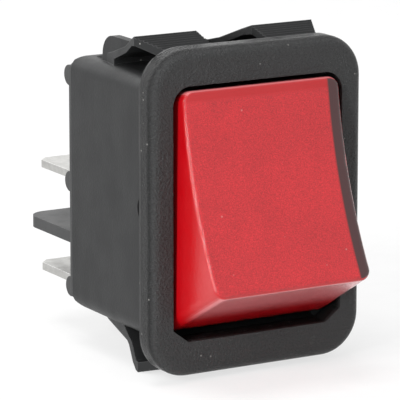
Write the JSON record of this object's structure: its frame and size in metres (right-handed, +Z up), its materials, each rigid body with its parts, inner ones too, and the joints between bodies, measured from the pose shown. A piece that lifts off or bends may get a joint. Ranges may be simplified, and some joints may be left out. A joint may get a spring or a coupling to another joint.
{
  "type": "panel rocker switch",
  "caption": "Two-pole on and off rocker switch with a translucent red lamp rocker, a snap-in black housing and quick-connect tabs behind.",
  "frame": {"origin": "centre of the plane where the bezel seats on the panel, in the middle of the panel cut-out", "axes": "+X across the bezel to the right seen from the front, +Y into the panel towards the terminals, +Z up with the barrier fin and the load terminals below the middle"},
  "size_m": [0.024, 0.0381, 0.0337],
  "materials": {
    "black_nylon": "fine grained black nylon",
    "black_nylon_base": "smooth matt black nylon",
    "red_lens": "translucent red polycarbonate, frosted on its face and glossy round it",
    "pale_nylon": "plain pale nylon",
    "lamp_glass": "clear glass",
    "resistor_body": "lacquered tan",
    "tinned_wire": "tinned",
    "bare_brass": "bare brass",
    "spring_steel": "drawn wire",
    "contact_silver": "bright silver",
    "tinned_brass": "tin plated, satin"
  },
  "bodies": {
    "body": {"housing": "black_nylon", "base": "black_nylon_base", "common_terminal_left": "tinned_brass", "common_terminal_right": "tinned_brass", "load_terminal_left": "tinned_brass", "load_terminal_right": "tinned_brass", "fixed_contact_left": "contact_silver", "fixed_contact_right": "contact_silver"},
    "rocker": {"rocker_cap": "red_lens", "rocker_carrier": "pale_nylon", "lamp": "lamp_glass", "lamp_resistor": "resistor_body", "lamp_lead_left": "tinned_wire", "lamp_lead_right": "tinned_wire", "plunger_left": "bare_brass", "plunger_right": "bare_brass", "plunger_spring_left": "spring_steel", "plunger_spring_right": "spring_steel"},
    "lever_left": {"contact_lever_left": "bare_brass", "moving_contact_left": "contact_silver"},
    "lever_right": {"contact_lever_right": "bare_brass", "moving_contact_right": "contact_silver"}
  },
  "joints": [
    {"name": "rocker_tilt", "type": "hinge", "parent": "body", "child": "rocker", "pos_m": [0, 0.0017, 0], "axis": [1, 0, 0], "range_deg": [0, 38]},
    {"name": "lever_left_swing", "type": "hinge", "parent": "body", "child": "lever_left", "pos_m": [-0.0057, 0.0125, 0], "axis": [1, 0, 0], "range_deg": [-12.4, 0]},
    {"name": "lever_right_swing", "type": "hinge", "parent": "body", "child": "lever_right", "pos_m": [0.0057, 0.0125, 0], "axis": [1, 0, 0], "range_deg": [-12.4, 0]}
  ],
  "couplings": [
    {"joint": "lever_left_swing", "follows": "rocker_tilt", "ratio": -0.3263},
    {"joint": "lever_right_swing", "follows": "rocker_tilt", "ratio": -0.3263}
  ]
}
